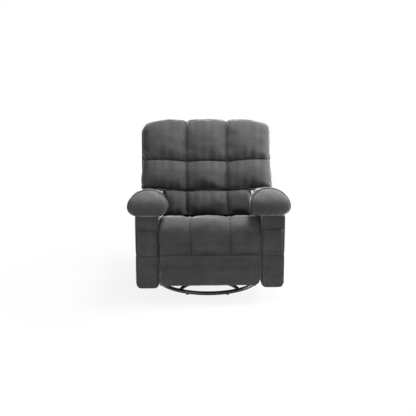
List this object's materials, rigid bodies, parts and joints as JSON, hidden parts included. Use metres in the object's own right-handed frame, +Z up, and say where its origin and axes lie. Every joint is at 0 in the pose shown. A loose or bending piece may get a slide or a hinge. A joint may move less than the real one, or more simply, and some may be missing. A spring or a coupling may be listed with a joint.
{
  "type": "swivel rocker recliner",
  "caption": "Padded armchair on a tube ring base that swivels, rocks, leans back and raises a channelled footrest, with pillow-top arms and a tufted winged back.",
  "frame": {"origin": "on the floor, on the swivel axis, which is also the middle of the overall width and depth with the back upright and the footrest closed", "axes": "+Z up, -Y to the front of the chair, +X to the sitter's left"},
  "size_m": [1, 0.931, 1.04],
  "materials": {
    "cushion_fabric": "soft brushed upholstery, charcoal grey",
    "cover_fabric": "soft brushed upholstery over thin padding, charcoal grey",
    "black_paint": "satin black powder coat",
    "frame_paint": "semi-gloss black paint",
    "bright_steel": "zinc plated",
    "cage_brass": "stamped brass",
    "spring_steel": "oil-tempered steel wire",
    "frame_wood": "sawn hardwood and plywood",
    "black_plastic": "moulded black plastic",
    "cable_sheath": "black cable sheath",
    "latch_steel": "dark plated steel"
  },
  "bodies": {
    "base": {"ring_tube": "black_paint", "front_arch_tube": "black_paint", "rear_arch_tube": "black_paint", "floor_glides": "black_plastic", "swivel_lower_plate": "frame_paint", "swivel_bolts": "bright_steel", "swivel_pivot": "bright_steel", "bearing_balls": "bright_steel", "ball_cage": "cage_brass"},
    "turntable": {"swivel_upper_plate": "frame_paint", "front_cross_bar": "frame_paint", "rear_cross_bar": "frame_paint", "cross_bar_bolts": "bright_steel", "left_rocker_rail": "frame_paint", "right_rocker_rail": "frame_paint", "left_rocker_springs": "spring_steel", "right_rocker_springs": "spring_steel"},
    "seat": {"left_rocker_cam": "frame_wood", "right_rocker_cam": "frame_wood", "left_frame_rail": "frame_wood", "right_frame_rail": "frame_wood", "front_cross_rail": "frame_wood", "middle_cross_rail": "frame_wood", "rear_cross_rail": "frame_wood", "seat_springs": "spring_steel", "left_mechanism_plate": "frame_paint", "right_mechanism_plate": "frame_paint", "arm_bolts": "bright_steel", "seat_cushion": "cushion_fabric", "left_arm_frame": "frame_wood", "right_arm_frame": "frame_wood", "left_arm_cover": "cover_fabric", "right_arm_cover": "cover_fabric", "left_arm_pillow": "cushion_fabric", "right_arm_pillow": "cushion_fabric", "left_front_pocket": "cover_fabric", "right_front_pocket": "cover_fabric", "rear_skirt": "cover_fabric", "release_cup": "black_plastic", "release_pin": "bright_steel", "release_cable": "cable_sheath", "release_latch": "latch_steel"},
    "paddle": {"release_paddle": "black_plastic"},
    "footrest": {"footrest_board": "frame_wood", "footrest_pad": "cushion_fabric", "footrest_brackets": "frame_paint"},
    "lift": {"torque_tube": "frame_paint", "lift_arms": "frame_paint"},
    "couplers": {"coupler_links": "frame_paint"},
    "back": {"back_posts": "frame_wood", "back_lower_rail": "frame_wood", "back_top_rail": "frame_wood", "wing_frames": "frame_wood", "back_springs": "spring_steel", "back_brackets": "frame_paint", "back_pivot_pins": "bright_steel", "back_case": "cover_fabric", "back_cushion": "cushion_fabric"}
  },
  "joints": [
    {"name": "swivel", "type": "hinge", "parent": "base", "child": "turntable", "pos_m": [0, 0, 0.047], "axis": [0, 0, 1], "continuous": true},
    {"name": "rock", "type": "hinge", "parent": "turntable", "child": "seat", "pos_m": [0, 0, 0.409], "axis": [-1, 0, 0], "range_deg": [-8, 10], "stiffness_Nm_per_rad": 900, "deforming": ["left_rocker_springs", "right_rocker_springs"]},
    {"name": "recline", "type": "hinge", "parent": "seat", "child": "back", "pos_m": [0, 0.19, 0.33], "axis": [-1, 0, 0], "range_deg": [0, 40]},
    {"name": "footrest_swing", "type": "hinge", "parent": "seat", "child": "footrest", "pos_m": [0, -0.425, 0.46], "axis": [-1, 0, 0], "range_deg": [0, 90]},
    {"name": "lift_turn", "type": "hinge", "parent": "seat", "child": "lift", "pos_m": [0, -0.265, 0.288], "axis": [-1, 0, 0], "range_deg": [0, 90]},
    {"name": "coupler_turn", "type": "hinge", "parent": "lift", "child": "couplers", "pos_m": [0, -0.215, 0.138], "axis": [-1, 0, 0], "range_deg": [-90, 0]},
    {"name": "release", "type": "hinge", "parent": "seat", "child": "paddle", "pos_m": [-0.444, -0.17, 0.4595], "axis": [0, 1, 0], "range_deg": [0, 28], "stiffness_Nm_per_rad": 0.6, "springref_deg": -5.73}
  ],
  "couplings": [
    {"joint": "lift_turn", "follows": "footrest_swing", "ratio": 1},
    {"joint": "coupler_turn", "follows": "footrest_swing", "ratio": -1}
  ]
}
